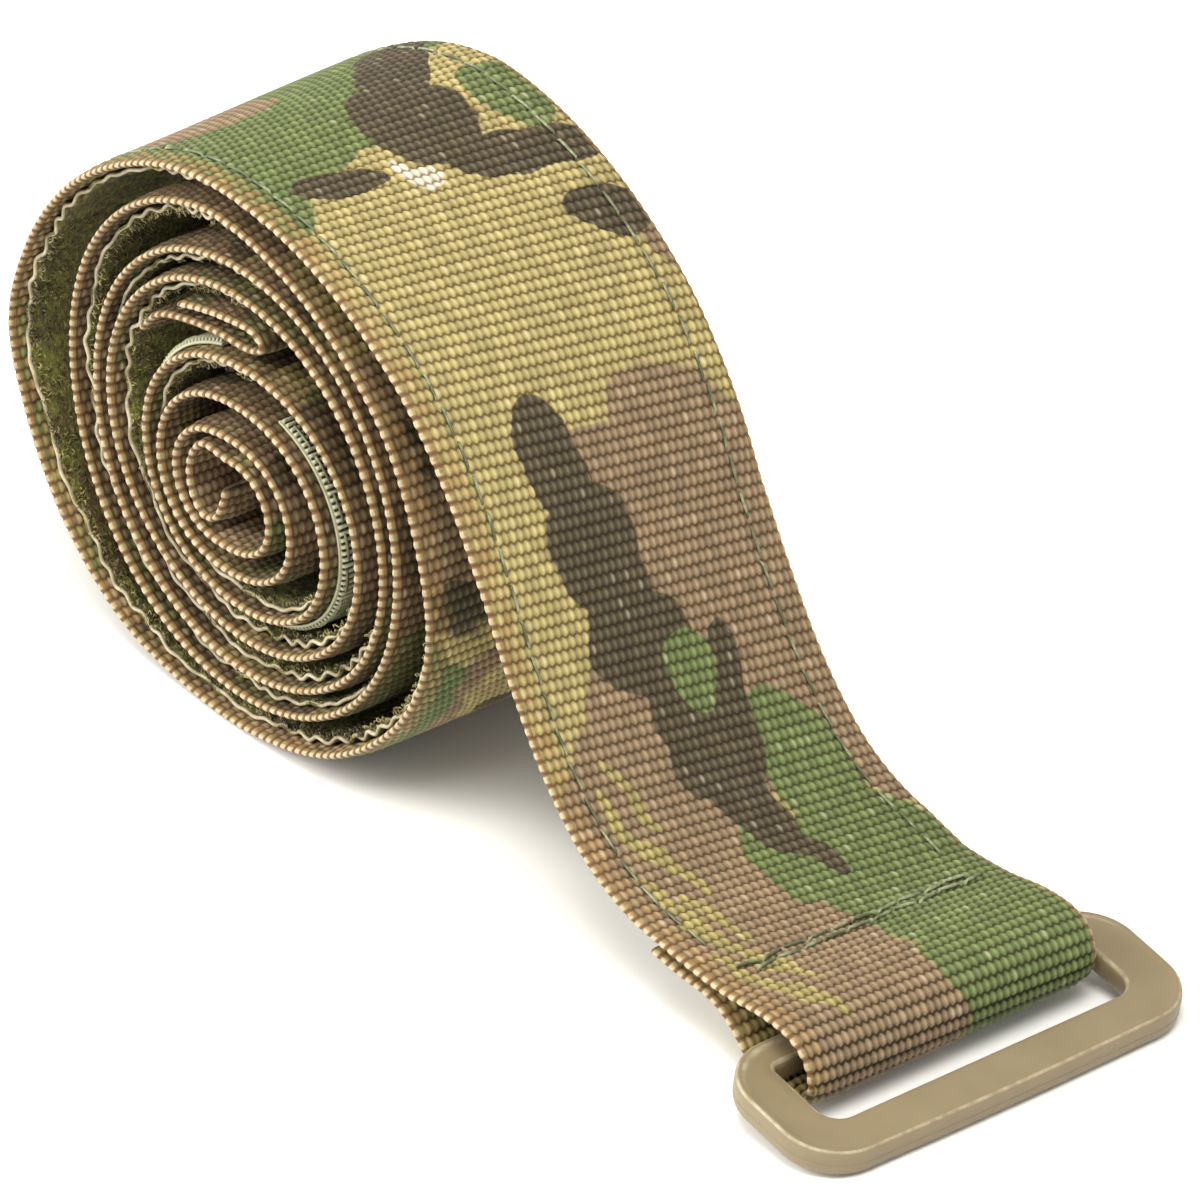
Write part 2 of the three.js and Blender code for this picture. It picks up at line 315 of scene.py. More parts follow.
def webbing(name, route, start, end, outer_y, inner_y, material, shift=0.0):
    """A stretch of webbing, ribbed on both faces, with a bead at the end of each rib.

    One more row is worked out past each end, so that two stretches meet with the same normals.
    """
    r = np.arange(start - RIB / 4, end + 3 * RIB / 8, RIB / 4)
    y, high, edge = section_columns(outer_y, inner_y)
    r, y = np.meshgrid(r, y, indexing="ij")
    high, edge = np.broadcast_to(high, r.shape), np.broadcast_to(edge, r.shape)
    s = r
    if route is STRAP:
        s = r - np.interp(r, SKEW_AT, SKEW) * y
    s = np.clip(s, 0, route.length - 0.3)
    open_rows = smoothstep(*FOLD_FROM, r) * (1 - smoothstep(*FOLD_TO, r))
    thin_edge = smoothstep(EDGE_THIN_FROM, EDGE_THIN_TO, np.abs(y))
    rows = weave(r, y) * (1 + 0.4 * open_rows) * (1 - 0.6 * thin_edge)
    bead = np.abs(np.cos(math.pi * r / RIB + 0.5 * high))
    tall = WEBBING_HALF - EDGE_THIN * thin_edge + rows * (1 - edge)
    tall = tall + edge * (0.1 * bead - EDGE_THIN)
    wide = y + np.sign(y) * edge * (0.2 * bead - 0.1)
    wide = wide + EDGE_WANDER * np.sin(r / 9.0 + np.sign(y)) * edge
    groove = np.exp(-(((np.abs(y) - STITCH_Y) / SEAM_SPREAD) ** 2))
    stitched = (s > EDGE_STITCH_START) & (s < EDGE_STITCH_END) if route is STRAP else False
    tall = tall - np.where(stitched & (high > 0), SEAM_SINK * groove, 0)
    points = surface(route, s, wide, tall * high)
    normals = grid_normals(points)[1:-1]
    points, uv = points[1:-1], np.stack([r + shift, y], -1)[1:-1]
    piece = make_object(name, points, tube_faces(*points.shape[:2]), material, uv)
    piece.data.normals_split_custom_set_from_vertices(normals.reshape(-1, 3).tolist())
    return piece


def gap_inside(route, s):
    """Free space on the inner side of the strap, up to the next turn in."""
    x, z, nx, nz = route.at(s)
    room = np.full(len(s), OPEN_ROOM)
    for i in range(len(s)):
        other = np.abs(route.s - s[i]) > SAME_TURN
        dx, dz = route.x[other] - x[i], route.z[other] - z[i]
        inward = -(dx * nx[i] + dz * nz[i])
        beside = np.abs(dx * nz[i] - dz * nx[i])
        hit = (inward > 0.5) & (beside < 1.0)
        if hit.any():
            room[i] = inward[hit].min()
    return room


def pucker(s, side):
    """How far the loop tape's edge stands away from the webbing."""
    room = np.interp(s, PUCKER_S, PUCKER_ROOM)
    wander = 1.6 * np.sin(s / 11.0 + side) + 0.9 * np.sin(s / 4.3 + 2 * side)
    size = 0.65 + 0.35 * np.sin(s / 7.1 + side)
    wave = 0.5 + 0.5 * np.sin(2 * math.pi * s / PUCKER_PITCH + wander)
    free = np.clip((room - 2.1) * 0.45, 0.03, 0.7)
    return 0.1 + free * wave * size


def pile(name, start, end, material, columns, seed):
    """The loop tape: a thin fuzzy band whose woven edges pucker away from the webbing."""
    rng = np.random.default_rng(seed)
    s = np.arange(start, end, PILE_STEP)
    section = np.linspace(-1, 1, columns)
    y_top = TAPE_HALF * np.sin(section * math.pi / 2 * 0.999) * 0.35 + TAPE_HALF * section * 0.65
    y = np.concatenate([y_top, y_top[::-1]])
    low = np.concatenate([np.zeros(columns), np.ones(columns)])
    s2, y2 = np.meshgrid(s, y, indexing="ij")
    low2 = np.broadcast_to(low, s2.shape)
    side = np.sign(y2)
    drop = pucker(s2, side) * smoothstep(TUCK_FROM, TUCK_TO, np.abs(y2)) ** 2
    rough = rng.random(s2.shape) * low2 * (1 - smoothstep(16.4, PILE_EDGE, np.abs(y2)))
    thick = PILE_THICK * (1 - 0.35 * smoothstep(16.2, PILE_EDGE, np.abs(y2)))
    height = PILE_TOP - drop - low2 * thick - PILE_ROUGH * rough
    points = surface(STRAP, s2, y2, height)
    uv = np.stack([s2, y2], -1)
    return make_object(name, points, tube_faces(*s2.shape), material, uv)


def selvage(name, start, end, side, material):
    """The loop tape's woven edge: a thin cord that waves between the webbing and the next turn."""
    s = np.arange(start, end, 0.2)
    y = side * (TAPE_HALF + 0.25 * np.sin(s / 2.1))
    line = surface(STRAP, s, y, PILE_TOP - pucker(s, side) - 0.2)
    points, faces = tube_along([line], SELVAGE_RADIUS)
    return make_object(name, points, faces, material)


def loose_loops(name, start, end, count, material, seed):
    """Loose loops of the loop tape, thickest near its edges where they can be seen."""
    rng = np.random.default_rng(seed)
    lines = []
    for _ in range(count):
        s = rng.uniform(start, end)
        side = rng.choice([-1.0, 1.0])
        y = side * (17.2 - 5.0 * rng.random() ** 2.0)
        room = np.interp(s, PUCKER_S, PUCKER_ROOM)
        tall = rng.uniform(0.25, 1.0) * np.clip((room - 2.4) * 0.5, 0.1, 0.9)
        lean_s, lean_y = rng.uniform(-0.7, 0.7, 2)
        t = np.linspace(0, 1, 5)
        along = np.clip(s + lean_s * t + 0.2 * np.sin(3 * t), start, end)
        drop = pucker(s, side) * smoothstep(TUCK_FROM, TUCK_TO, abs(y)) ** 2
        root = PILE_TOP - PILE_THICK + 0.1 - drop
        lines.append(surface(STRAP, along, y + lean_y * t, root - tall * np.sin(math.pi * 0.8 * t)))
    points, faces = tube_along(lines, LOOP_RADIUS, sides=3)
    return make_object(name, points, faces, material)


def hook_tape(material):
    """Pale tape with a row of hooks on each rib."""
    s = np.arange(HOOK_START, HOOK_END, HOOK_PITCH / 6)
    border = np.linspace(HOOK_EDGE, TAPE_HALF, 4)
    ribbed = np.linspace(-HOOK_EDGE + 0.1, HOOK_EDGE - 0.1, 22)
    across = np.concatenate([-border[::-1], ribbed, border])
    y = np.concatenate([across, across[::-1]])
    top = np.concatenate([np.ones(len(across)), np.zeros(len(across))])
    s2, y2 = np.meshgrid(s, y, indexing="ij")
    top2 = np.broadcast_to(top, s2.shape)
    ridge = np.clip(0.5 + 0.9 * np.cos(2 * math.pi * s2 / HOOK_PITCH), 0, 1)
    hooks = 1 - smoothstep(HOOK_EDGE - 0.1, HOOK_EDGE + 0.1, np.abs(y2))
    height = HOOK_BASE + top2 * (0.3 + HOOK_RIB * ridge * hooks)
    points = surface(STRAP, s2, y2, height)
    uv = np.stack([s2, y2], -1)
    return make_object("hook_tape_ribbed", points, tube_faces(*s2.shape), material, uv)


def tube_along(lines, radius, sides=7):
    """One mesh of several tubes, each along its own line of points in metres."""
    all_points, faces, base = [], [], 0
    for line in lines:
        line = np.asarray(line, float)
        way = np.gradient(line, axis=0)
        way /= np.linalg.norm(way, axis=1)[:, None] + 1e-12
        ref = np.array([0.0, 1.0, 0.0]) if abs(way[0][1]) < 0.8 else np.array([0.0, 0.0, 1.0])
        a = np.cross(way, ref)
        a /= np.linalg.norm(a, axis=1)[:, None] + 1e-12
        b = np.cross(way, a)
        n = len(line)
        taper = np.ones(n)
        taper[0] = taper[-1] = 0.55
        turn = np.linspace(0, 2 * math.pi, sides, endpoint=False)
        ring = a[:, None] * np.cos(turn)[None, :, None] + b[:, None] * np.sin(turn)[None, :, None]
        points = line[:, None] + ring * (radius * MM * taper)[:, None, None]
        all_points.append(points.reshape(-1, 3))
        faces += [[base + v for v in f] for f in tube_faces(n, sides)]
        base += n * sides
    return np.vstack(all_points), faces


def stitch_line(route, s0, s1, y0, y1, high, count=9):
    """One stitch, from hole to hole, lying on the webbing between them."""
    t = np.linspace(0, 1, count)
    lie = np.clip(np.sin(math.pi * t) * 2.6, 0, 1) ** 0.6
    s = s0 + (s1 - s0) * t
    y = y0 + (y1 - y0) * t
    return surface(route, s, y, 0.15 + (high - 0.15) * lie)


def edge_stitches(name, y, start, end, material, high=THREAD_HIGH):
    """A row of stitches along the strap."""
    lines = []
    at = start
    while at + STITCH_PITCH < end:
        lean = 0.12 * math.sin(at * 1.7)
        start_hole, end_hole = at + 0.2, at + STITCH_PITCH - 0.2
        lines.append(stitch_line(STRAP, start_hole, end_hole, y - lean, y + lean, high))
        at += STITCH_PITCH
    points, faces = tube_along(lines, THREAD_RADIUS)
    return make_object(name, points, faces, material)


# ------------------------------------------------------------------ node helpers


class Nodes:
    """Short calls for building one material's nodes."""

    def __init__(self, name):
        self.material = bpy.data.materials.new(name)
        self.material.use_nodes = True
        self.tree = self.material.node_tree
        self.shader = self.tree.nodes["Principled BSDF"]

    def new(self, kind, **values):
        node = self.tree.nodes.new(kind)
        for key, value in values.items():
            setattr(node, key, value)
        return node

    def put(self, socket, value):
        """Links a socket, or sets its value."""
        if isinstance(value, bpy.types.NodeSocket):
            self.tree.links.new(value, socket)
        elif value is not None:
            socket.default_value = value

    def math(self, operation, a, b=None, c=None):
        node = self.new("ShaderNodeMath", operation=operation)
        for socket, value in zip(node.inputs, (a, b, c)):
            self.put(socket, value)
        return node.outputs[0]

    def plus(self, a, b):
        return self.math("ADD", a, b)

    def minus(self, a, b):
        return self.math("SUBTRACT", a, b)

    def times(self, a, b):
        return self.math("MULTIPLY", a, b)

    def over(self, a, b):
        return self.math("DIVIDE", a, b)

    def step(self, value, low, high):
        """0 up to low, 1 from high on and a smooth rise between; it falls if low is over high."""
        node = self.new("ShaderNodeMapRange", interpolation_type="SMOOTHSTEP")
        self.put(node.inputs[0], value)
        self.put(node.inputs[1], low)
        self.put(node.inputs[2], high)
        return node.outputs[0]

    def scale(self, value, low, high, to_low, to_high):
        """The value, moved from one range to another."""
        node = self.new("ShaderNodeMapRange")
        for socket, v in zip(node.inputs, (value, low, high, to_low, to_high)):
            self.put(socket, v)
        return node.outputs[0]

    def mix(self, share, a, b, blend="MIX"):
        node = self.new("ShaderNodeMix", data_type="RGBA", blend_type=blend)
        self.put(node.inputs["Factor"], share)
        self.put(node.inputs[6], self.colour(a))
        self.put(node.inputs[7], self.colour(b))
        return node.outputs[2]

    @staticmethod
    def colour(value):
        if isinstance(value, tuple) and len(value) == 3:
            return (*value, 1.0)
        return value

    def vector(self, x, y, z=0.0):
        node = self.new("ShaderNodeCombineXYZ")
        for socket, value in zip(node.inputs, (x, y, z)):
            self.put(socket, value)
        return node.outputs[0]

    def noise(self, vector, scale, detail=2.0, roughness=0.5):
        node = self.new("ShaderNodeTexNoise")
        self.put(node.inputs["Vector"], vector)
        self.put(node.inputs["Scale"], scale)
        self.put(node.inputs["Detail"], detail)
        self.put(node.inputs["Roughness"], roughness)
        return node.outputs["Fac"]

    def cell(self, vector):
        """A random value for each whole-numbered place."""
        node = self.new("ShaderNodeTexWhiteNoise")
        self.put(node.inputs["Vector"], vector)
        return node.outputs["Value"]

    def strap_place(self):
        """Distance along the strap and place across it, both in mm."""
        place = self.new("ShaderNodeUVMap", uv_map="strap")
        split = self.new("ShaderNodeSeparateXYZ")
        self.put(split.inputs[0], place.outputs[0])
        return split.outputs[0], split.outputs[1]

    def bump(self, height, distance, strength=1.0, normal=None):
        node = self.new("ShaderNodeBump")
        self.put(node.inputs["Height"], height)
        node.inputs["Distance"].default_value = distance
        node.inputs["Strength"].default_value = strength
        self.put(node.inputs["Normal"], normal)
        return node.outputs[0]

    def finish(self, colour, roughness, normal=None, specular=0.5, sheen=0.0):
        self.put(self.shader.inputs["Base Color"], self.colour(colour))
        self.put(self.shader.inputs["Roughness"], roughness)
        self.put(self.shader.inputs["Normal"], normal)
        self.shader.inputs["Specular IOR Level"].default_value = specular
        self.shader.inputs["Sheen Weight"].default_value = sheen
        return self.material


def srgb(r, g, b):
    """Linear colour from 0-255 display values."""
    out = []
    for v in (r, g, b):
        v /= 255
        out.append(v / 12.92 if v <= 0.04045 else ((v + 0.055) / 1.055) ** 2.4)
    return tuple(out)


PRINT_START = 884.0  # patches before this distance are scattered, not placed
TAB_PRINT_SHIFT = 385.0  # the tab takes its print from this far along the strap
SEEN_TO_BASE = 0.66  # base colour as a share of the colour that the cloth shows in this light


def dye(r, g, b):
    """Base colour of cloth that is seen as this display colour."""
    return tuple(v * SEEN_TO_BASE for v in srgb(r, g, b))


KHAKI = dye(190, 175, 116)
GREEN = dye(116, 131, 78)
BROWN = dye(155, 132, 102)
DARK = dye(90, 80, 58)
LIME = dye(176, 163, 102)
CREAM = dye(236, 226, 204)
TAN = dye(166, 134, 84)
# dark brown for painted shade: the turns deep in the roll, the gaps between the edge beads and the
# beads' flanks
SHADE_BROWN = dye(98, 76, 44)
RUST = dye(136, 98, 64)
# pale cream for the painted highlight on the edge beads
BEAD_HIGHLIGHT = dye(222, 208, 176)
# near black, for the gaps between the rows in the fold: partly the opened weave, partly painted shade
DEEP = dye(44, 40, 22)
SHADOW = (0.4, 0.33, 0.24)  # what is left of a colour down between the yarns

# Printed patches, in the order they are printed: colour, then for each patch its place along
# and across the strap, half length, half width and turn in degrees.
PATCHES = [
    (BROWN, [
        (972, 10, 25.5, 11.5, 0), (958, 0, 6, 5.5, 0), (934, 19, 4, 3, 0), (991, 17.5, 10, 3, 0),
        (996, -7, 20, 5.5, 0), (1012, -10.5, 30, 11.5, 0), (1030, -8, 16, 10, 0),
    ]),
    (GREEN, [
        (892, -8, 21, 16, 0), (906, -9, 9.5, 10, 0), (915, -17, 9, 5, 0), (905, -1, 9, 6, 0),
        (888, 10, 12, 12, 0), (911, 16, 6, 4.5, 0), (993, 10.2, 9.5, 5.2, 0),
        (1014, 10, 18, 10, 0), (1031, 11, 14, 10.5, 0), (1004, -0.4, 7, 2.6, 0),
    ]),
    (BROWN, [(890.5, -7.5, 8, 7.5, -20)]),
    (DARK, [
        (911, 4.6, 9, 6, 0), (899, 10.5, 12, 3.8, -33), (920, 11.5, 3.4, 8.5, 0),
        (917.9, -8.8, 2.6, 5.2, -16), (930, 15, 3.3, 5.2, 0), (955.5, -5.8, 7.2, 3.9, 0),
        (966, -4, 8, 5.8, 10), (976, -2.6, 6.5, 6.2, 0), (981, 6.4, 6, 2.7, -8),
        (986, 1, 8.5, 5.8, 0), (996, 1.6, 9, 3, 8), (1004, 3.8, 4.5, 1.4, 10),
    ]),
    (GREEN, [(979.6, 2.6, 4.4, 3.0, 0)]),
    (LIME, [
        (991, -11.2, 5, 0.8, 12), (996, -13.2, 6, 0.8, 12), (1001, -11.4, 5, 0.7, 12),
        (1006, -14.4, 5, 0.8, 12), (1009, -12, 5, 0.7, 12), (1014, -13.6, 6, 1.0, 14),
        (1019, -11.6, 5, 0.9, 14), (1021, -15, 6, 1.0, 14), (1026, -12.6, 4, 0.8, 14),
    ]),
    (CREAM, [(920.4, -0.4, 2.1, 2.3, 0), (919.9, -1.3, 2.9, 1.2, 0)]),
]


WORN_RIM = (0.15, 0.8)  # how far the print is rubbed off the near edge, least and most
INNER_TURN_SHADE = (60.0, 100.0, 700.0, 730.0)  # painted shade: the turns inside the roll are darkened toward brown, between these
# painted highlight: how much the yarns' crowns are brightened
CROWN_HIGHLIGHT = (1.4, 1.4, 1.4)
YARN_TONES = (0.82, 1.18)  # the darkest and the palest yarn
FIBRE_TONES = (0.65, 1.35)
WEAVE_BUMP = 0.00022  # metres
FIBRE_BUMP = 0.00012


def scattered_print(n, r, u, v):
    """Patches scattered at random, for the turns that are hardly seen, darkened deep in the roll as
    painted shade.
    """
    spot = n.vector(n.times(u, 0.6), v)
    colour = n.mix(n.step(n.noise(spot, 0.055, 2.0), 0.44, 0.46), KHAKI, BROWN)
    green = n.step(n.noise(n.vector(u, v, 31.0), 0.05, 2.0), 0.53, 0.55)
    colour = n.mix(green, colour, GREEN)
    dark = n.step(n.noise(n.vector(n.times(u, 1.5), v, 57.0), 0.05, 2.0), 0.56, 0.575)
    colour = n.mix(dark, colour, DARK)
    start, full, fade, stop = INNER_TURN_SHADE
    # painted shade: the turns deep in the roll are mixed toward dark brown
    inner = n.times(n.step(r, start, full), n.step(r, stop, fade))
    return n.mix(n.times(inner, 0.45), colour, SHADE_BROWN)


def patch_reach(n, u, v, patch):
    """Under 1 inside one oval patch and over 1 outside it."""
    along, across, length, width, turn = patch
    c, s = math.cos(math.radians(turn)), math.sin(math.radians(turn))
    du, dv = n.minus(u, along), n.minus(v, across)
    a = n.over(n.plus(n.times(du, c), n.times(dv, s)), length)
    b = n.over(n.minus(n.times(dv, c), n.times(du, s)), width)
    return n.plus(n.math("POWER", a, 2.0), n.math("POWER", b, 2.0))


def placed_print(n, u, v):
    """The patches of PATCHES over khaki, those of one group melting into one another."""
    printed = KHAKI
    for tint, patches in PATCHES:
        reach = patch_reach(n, u, v, patches[0])
        for patch in patches[1:]:
            reach = n.math("MINIMUM", reach, patch_reach(n, u, v, patch))
        printed = n.mix(n.step(reach, 1.06, 0.94), printed, tint)
    return printed


def camouflage(n, r, y):
    """The print: patches with slightly wandering edges."""
    wobble_u = n.minus(n.noise(n.vector(r, y), 0.12, 1.0, 0.5), 0.5)
    wobble_v = n.minus(n.noise(n.vector(y, r, 7.0), 0.14, 1.0, 0.5), 0.5)
    u = n.math("MULTIPLY_ADD", wobble_u, 5.0, r)
    v = n.math("MULTIPLY_ADD", wobble_v, 4.0, y)
    hidden_side = n.step(u, PRINT_START + 0.3, PRINT_START)
    return n.mix(hidden_side, placed_print(n, u, v), scattered_print(n, r, u, v))


def yarn_rows(n, r, y):
    """The rib and the yarn that a place is in, and how high it stands, much as weave() has it."""
    ribs = n.over(r, RIB)
    rib = n.math("FLOOR", n.plus(ribs, 0.5))
    yarns = n.math("MULTIPLY_ADD", rib, 0.5, n.over(y, YARN))
    yarn = n.math("FLOOR", n.plus(yarns, 0.5))
    swell = n.math("COSINE", n.times(yarns, 2 * math.pi))
    off = n.over(n.minus(ribs, rib), n.math("MULTIPLY_ADD", swell, ROW_SWELL, ROW_HALF))
    row = n.math("SQRT", n.math("MAXIMUM", n.minus(1.0, n.times(off, off)), 0.0))
    return rib, yarn, n.times(row, n.math("MULTIPLY_ADD", swell, 0.25, 0.75))


def worn_print(n, r, y, rib, yarn):
    """The print, rubbed off here and there along the near edge."""
    rim_noise = n.cell(n.vector(rib, yarn, 3.0))
    rim = n.times(n.step(y, -16.3, -16.9), n.scale(rim_noise, 0.0, 1.0, *WORN_RIM))
    # bare nylon is tan; inside the roll it is dark brown, as painted shade
    bare_and_inner_shade = n.mix(n.step(r, 700.0, 740.0), SHADE_BROWN, TAN)
    return n.mix(rim, camouflage(n, r, y), bare_and_inner_shade)


def shaded_yarns(n, r, colour, high, per_yarn):
    """Painted shade between the yarns and a painted highlight on their crowns, each yarn a little
    different.
    """
    fold = n.times(n.step(r, *FOLD_FROM), n.step(r, *FOLD_TO[::-1]))
    # painted shade down between the yarns
    low = n.mix(1.0, colour, SHADOW, "MULTIPLY")
    # in the fold the gaps go darker still: partly the opened weave, partly painted shade on the face
    # turned from the light
    low = n.mix(n.times(fold, 0.75), low, DEEP)
    # painted highlight on the crowns, tinted cream
    crown_highlight = n.mix(0.08, n.mix(1.0, colour, CROWN_HIGHLIGHT, "MULTIPLY"), CREAM)
    colour = n.mix(n.step(high, 0.1, 0.75), low, colour)
    colour = n.mix(n.times(n.step(high, 0.7, 1.0), 0.9), colour, crown_highlight)
    light = n.scale(per_yarn, 0.0, 1.0, *YARN_TONES)
    colour = n.mix(1.0, colour, n.vector(light, light, light), "MULTIPLY")
    # cream specks on the crowns of a few yarns: partly pale fibres, partly painted glints
    fleck_and_glint = n.times(n.step(per_yarn, 0.94, 0.98), n.step(high, 0.6, 0.95))
    return n.mix(n.times(fleck_and_glint, 0.25), colour, CREAM)


def edge_beads(n, r, y, far_out, rib, colour):
    """The webbing's edge: a bead on each rib with a pale dot of painted highlight, and brown between
    the beads that goes dark in the gaps as painted shade; the beads' flanks get painted shade too.
    """
    from_rib = n.math("ABSOLUTE", n.minus(n.over(r, RIB), rib))
    bead_row = n.minus(1.0, n.times(from_rib, 2.0))
    edge_noise = n.noise(n.vector(r, y), 0.9, 2.0)
    bead = n.mix(n.step(edge_noise, 0.4, 0.6), TAN, n.mix(0.6, colour, KHAKI))
    # painted shade: dark brown down in the gaps between the beads, reddish brown nearer them
    between = n.mix(n.step(bead_row, 0.0, 0.2), SHADE_BROWN, RUST)
    bead = n.mix(n.step(bead_row, 0.25, 0.6), between, bead)
    # painted shade on the beads' flanks, toward the faces
    bead = n.mix(n.times(n.step(far_out, 18.7, 18.45), 0.35), bead, SHADE_BROWN)
    # painted highlight: a pale dot on each bead's crown, in the middle of the edge
    highlight_dot = n.times(n.step(bead_row, 0.35, 0.6), n.step(far_out, *EDGE_MIDDLE))
    highlight_dot = n.times(highlight_dot, n.step(edge_noise, 0.28, 0.42))
    return n.mix(n.times(highlight_dot, 0.75), bead, BEAD_HIGHLIGHT)


def webbing_material():
    n = Nodes("printed_webbing")
    r, y = n.strap_place()
    rib, yarn, high = yarn_rows(n, r, y)
    far_out = n.math("ABSOLUTE", y)
    per_yarn = n.cell(n.vector(rib, yarn))
    colour = shaded_yarns(n, r, worn_print(n, r, y, rib, yarn), high, per_yarn)
    edge = n.step(far_out, EDGE_THIN_TO, EDGE_THIN_TO + 0.2)
    colour = n.mix(edge, colour, edge_beads(n, r, y, far_out, rib, colour))
    fibre = n.noise(n.vector(n.times(r, 0.9), n.times(y, 11.0)), 1.0, 2.0)
    streak = n.scale(fibre, 0.3, 0.7, *FIBRE_TONES)
    colour = n.mix(0.4, colour, n.mix(1.0, colour, n.vector(streak, streak, streak), "MULTIPLY"))
    relief = n.times(high, n.step(far_out, EDGE_THIN_TO + 0.1, EDGE_THIN_TO - 0.1))
    normal = n.bump(fibre, FIBRE_BUMP, 0.6, n.bump(relief, WEAVE_BUMP, 0.7))
    return n.finish(colour, n.scale(fibre, 0.3, 0.7, 0.52, 0.72), normal, specular=0.22, sheen=0.03)


def pile_material():
    n = Nodes("loop_pile")
    s, y = n.strap_place()
    place = n.vector(s, y)
    clump = n.noise(place, 0.42, 2.0, 0.6)
    tufts = n.noise(n.vector(s, n.times(y, 1.6)), 1.25, 3.0, 0.65)
    strands = n.noise(place, 5.0, 3.0, 0.7)
    colour = n.mix(n.step(clump, 0.42, 0.6), dye(124, 112, 66), dye(144, 148, 66))
    wear_and_highlight = n.step(n.noise(n.vector(s, y, 9.0), 0.16, 2.0), 0.52, 0.64)
    colour = n.mix(wear_and_highlight, colour, dye(128, 104, 70))
    colour = n.mix(n.step(tufts, 0.5, 0.68), colour, dye(206, 200, 104))
    colour = n.mix(n.step(tufts, 0.46, 0.3), colour, dye(60, 52, 30))
    colour = n.mix(n.times(n.step(strands, 0.5, 0.75), 0.5), colour, dye(186, 180, 110))
    colour = n.mix(n.times(n.step(strands, 0.5, 0.3), 0.6), colour, dye(44, 38, 22))
    normal = n.bump(n.plus(tufts, n.times(strands, 0.5)), 0.0005, 0.9)
    return n.finish(colour, 0.85, normal, specular=0.15, sheen=0.12)


def hook_material():
    n = Nodes("hook_ribs")
    s, y = n.strap_place()
    wave = n.math("COSINE", n.times(s, 2 * math.pi / HOOK_PITCH))
    across = n.noise(n.vector(n.times(s, 0.3), n.times(y, 6.0)), 1.0, 2.0)
    hooks = n.step(n.math("ABSOLUTE", y), HOOK_EDGE + 0.1, HOOK_EDGE - 0.1)
    # painted shade: dark down between the rows of hooks
    dark = n.times(n.step(wave, 0.1, -0.5), hooks)
    colour = n.mix(dark, srgb(176, 176, 146), srgb(70, 70, 50))
    colour = n.mix(n.times(n.step(across, 0.5, 0.65), 0.35), colour, srgb(120, 122, 94))
    normal = n.bump(across, 0.00015, 0.7)
    return n.finish(colour, 0.5, normal, specular=0.5)


def thread_material(name, colour, dark):
    n = Nodes(name)
    place = n.new("ShaderNodeTexCoord").outputs["Object"]
    twist = n.noise(place, 2600.0, 2.0)
    shade = n.noise(place, 380.0, 2.0)
    tone = n.mix(n.step(shade, 0.4, 0.62), dark, colour)
    tone = n.mix(n.step(twist, 0.35, 0.65), n.mix(0.5, tone, dark), tone)
    return n.finish(tone, 0.5, n.bump(twist, 0.00008, 0.7), specular=0.5, sheen=0.1)


def ring_material():
    n = Nodes("moulded_tan")
    place = n.new("ShaderNodeTexCoord").outputs["Object"]
    grain = n.noise(place, 5200.0, 3.0, 0.6)
    cloud = n.noise(place, 120.0, 3.0)
    colour = n.mix(n.scale(cloud, 0.3, 0.7, 0.0, 1.0), dye(146, 130, 97), dye(155, 139, 106))
    colour = n.mix(n.times(n.step(grain, 0.55, 0.75), 0.25), colour, dye(138, 122, 90))
    # painted highlight along the rounded top edges, where the normal points mostly up
    facing = n.new("ShaderNodeSeparateXYZ")
    n.put(facing.inputs[0], n.new("ShaderNodeTexCoord").outputs["Normal"])
    up = facing.outputs[2]
    ridge = n.times(n.step(up, 0.35, 0.6), n.step(up, 0.97, 0.93))
    wear_and_highlight = n.times(ridge, n.scale(n.noise(place, 900.0, 2.0), 0.35, 0.65, 0.15, 0.6))
    colour = n.mix(wear_and_highlight, colour, dye(222, 208, 174))
    rough = n.scale(cloud, 0.3, 0.7, 0.36, 0.48)
    return n.finish(colour, rough, n.bump(grain, 0.00006, 0.5), specular=0.5)


# ------------------------------------------------------------------ the ring

RING_WIDTH = 51.0
RING_THICK = 3.4
RING_FRONT = 16.8
RING_BACK = -1.8
FRONT_BAR = 5.3
BACK_BAR = 3.6
SLOT_HALF = 20.0
RING_CORNER = 6.5
SLOT_CORNER = 2.4
SLOT_BACK_CORNER = 0.8
RING_TILT = 10.0
RING_X = CORE_X + 93.06
RING_Z = CORE_Z - 23.1


def rounded_loop(back, front, side, back_corner, front_corner, grow, arc=12, straight=18):
    """Points round a rounded rectangle, the same number whatever its sizes."""
    back, front, side = back - grow, front + grow, side + grow
    corners = [
        (front - (front_corner + grow), side - (front_corner + grow), front_corner + grow, 90),
        (back + (back_corner + grow), side - (back_corner + grow), back_corner + grow, 180),
        (back + (back_corner + grow), -side + (back_corner + grow), back_corner + grow, 270),
        (front - (front_corner + grow), -side + (front_corner + grow), front_corner + grow, 360),
    ]
    points = []
    for cx, cy, radius, until in corners:
        for k in range(arc + 1):
            angle = math.radians(until - 90 + 90 * k / arc)
            points.append((cx + radius * math.cos(angle), cy + radius * math.sin(angle)))
    out = []
    for c in range(4):
        block = points[c * (arc + 1) : (c + 1) * (arc + 1)]
        following = points[((c + 1) * (arc + 1)) % len(points)]
        out += block
        last = block[-1]
        for k in range(1, straight):
            t = k / straight
            out.append((last[0] + (following[0] - last[0]) * t, last[1] + (following[1] - last[1]) * t))
    return np.array(out)


